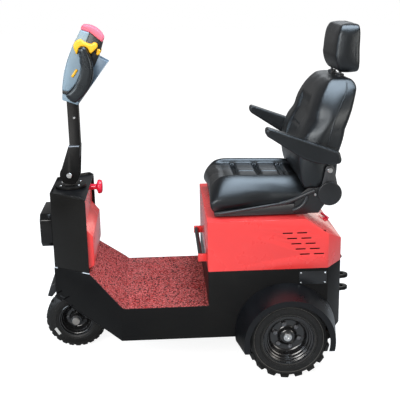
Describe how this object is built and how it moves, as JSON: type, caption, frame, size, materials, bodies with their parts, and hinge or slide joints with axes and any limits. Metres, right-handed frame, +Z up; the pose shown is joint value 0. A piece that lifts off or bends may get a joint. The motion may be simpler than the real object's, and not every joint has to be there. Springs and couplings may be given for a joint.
{
  "type": "stand-on and ride-on baggage tow tractor",
  "caption": "Compact electric tow tractor with a tiller, a red lifting seat box, an armchair seat, a matted deck and a rear hitch.",
  "frame": {"origin": "on the ground, below the middle of the overall length and width", "axes": "+X forward, +Y to the vehicle's left, +Z up"},
  "size_m": [1.31, 0.856, 1.3674],
  "materials": {
    "black_paint": "semi-gloss",
    "red_paint": "gloss",
    "mat": "matte",
    "steel": "satin",
    "cast": "matte",
    "tyre": "matte",
    "grey_plastic": "matte",
    "black_plastic": "satin",
    "yellow_plastic": "satin",
    "red_plastic": "gloss",
    "pink_rubber": "matte",
    "black_rubber": "satin",
    "seat_cover": "semi-gloss"
  },
  "bodies": {
    "chassis": {"side_panel_left": "black_paint", "side_panel_right": "black_paint", "rear_panel": "black_paint", "nose_panel": "black_paint", "box_front_panel": "black_paint", "deck_plate": "black_paint", "deck_mat": "mat", "underframe": "black_paint", "battery_block": "black_plastic", "rear_axle": "cast", "drive_motor": "cast", "tow_hitch": "black_paint", "mudguard_left": "black_plastic", "mudguard_right": "black_plastic", "steering_head": "black_paint", "column_shell": "black_paint", "column_cover": "red_paint", "front_box": "black_paint", "front_bumper": "black_rubber", "emergency_stop": "red_plastic", "hinge_lower": "black_paint"},
    "steering": {"steering_fork": "cast", "steering_disc": "black_paint"},
    "front_wheel": {"front_tyre": "tyre", "front_rim": "black_paint"},
    "rear_wheel_left": {"rear_tyre_left": "tyre", "rear_rim_left": "black_paint"},
    "rear_wheel_right": {"rear_tyre_right": "tyre", "rear_rim_right": "black_paint"},
    "tiller": {"tiller_arm": "black_paint", "head_base": "grey_plastic", "head_shell": "grey_plastic", "head_block": "black_plastic", "head_console": "grey_plastic", "belly_button": "pink_rubber", "hand_grip_left": "black_rubber", "hand_grip_right": "black_rubber", "throttle": "yellow_plastic"},
    "hood": {"hood": "red_paint", "lift_bar": "red_paint", "hinge_upper": "black_paint", "seat_rails": "steel"},
    "seat": {"seat_pan": "black_paint", "seat_cushion": "seat_cover", "recliner_cover_left": "black_plastic", "recliner_cover_right": "black_plastic"},
    "backrest": {"backrest": "seat_cover", "recliner_arm_left": "black_paint", "recliner_arm_right": "black_paint", "headrest_posts": "steel", "headrest": "seat_cover", "armrest_pin_left": "steel", "armrest_pin_right": "steel"},
    "armrest_left": {"armrest_left": "seat_cover"},
    "armrest_right": {"armrest_right": "seat_cover"}
  },
  "joints": [
    {"name": "steering", "type": "hinge", "parent": "chassis", "child": "steering", "pos_m": [0.517, 0, 0.711], "axis": [0, 0, 1], "range_deg": [-60, 60]},
    {"name": "front_wheel_spin", "type": "hinge", "parent": "steering", "child": "front_wheel", "pos_m": [0.525, 0, 0.13], "axis": [0, 1, 0], "continuous": true},
    {"name": "rear_wheel_left_spin", "type": "hinge", "parent": "chassis", "child": "rear_wheel_left", "pos_m": [-0.337, 0.35, 0.165], "axis": [0, 1, 0], "continuous": true},
    {"name": "rear_wheel_right_spin", "type": "hinge", "parent": "chassis", "child": "rear_wheel_right", "pos_m": [-0.337, -0.35, 0.165], "axis": [0, 1, 0], "continuous": true},
    {"name": "tiller_tilt", "type": "hinge", "parent": "steering", "child": "tiller", "pos_m": [0.515, 0, 0.77], "axis": [0, -1, 0], "range_deg": [-10, 25]},
    {"name": "hood_lift", "type": "hinge", "parent": "chassis", "child": "hood", "pos_m": [-0.58, 0, 0.42615], "axis": [0, -1, 0], "range_deg": [0, 50]},
    {"name": "seat_slide", "type": "slide", "parent": "hood", "child": "seat", "axis": [1, 0, 0], "range_m": [-0.06, 0.06]},
    {"name": "backrest_recline", "type": "hinge", "parent": "seat", "child": "backrest", "pos_m": [-0.511, 0, 0.719], "axis": [0, -1, 0], "range_deg": [0, 25]},
    {"name": "armrest_left_lift", "type": "hinge", "parent": "backrest", "child": "armrest_left", "pos_m": [-0.516, 0.273, 0.868], "axis": [0, -1, 0], "range_deg": [0, 70]},
    {"name": "armrest_right_lift", "type": "hinge", "parent": "backrest", "child": "armrest_right", "pos_m": [-0.516, -0.273, 0.868], "axis": [0, -1, 0], "range_deg": [0, 70]}
  ]
}
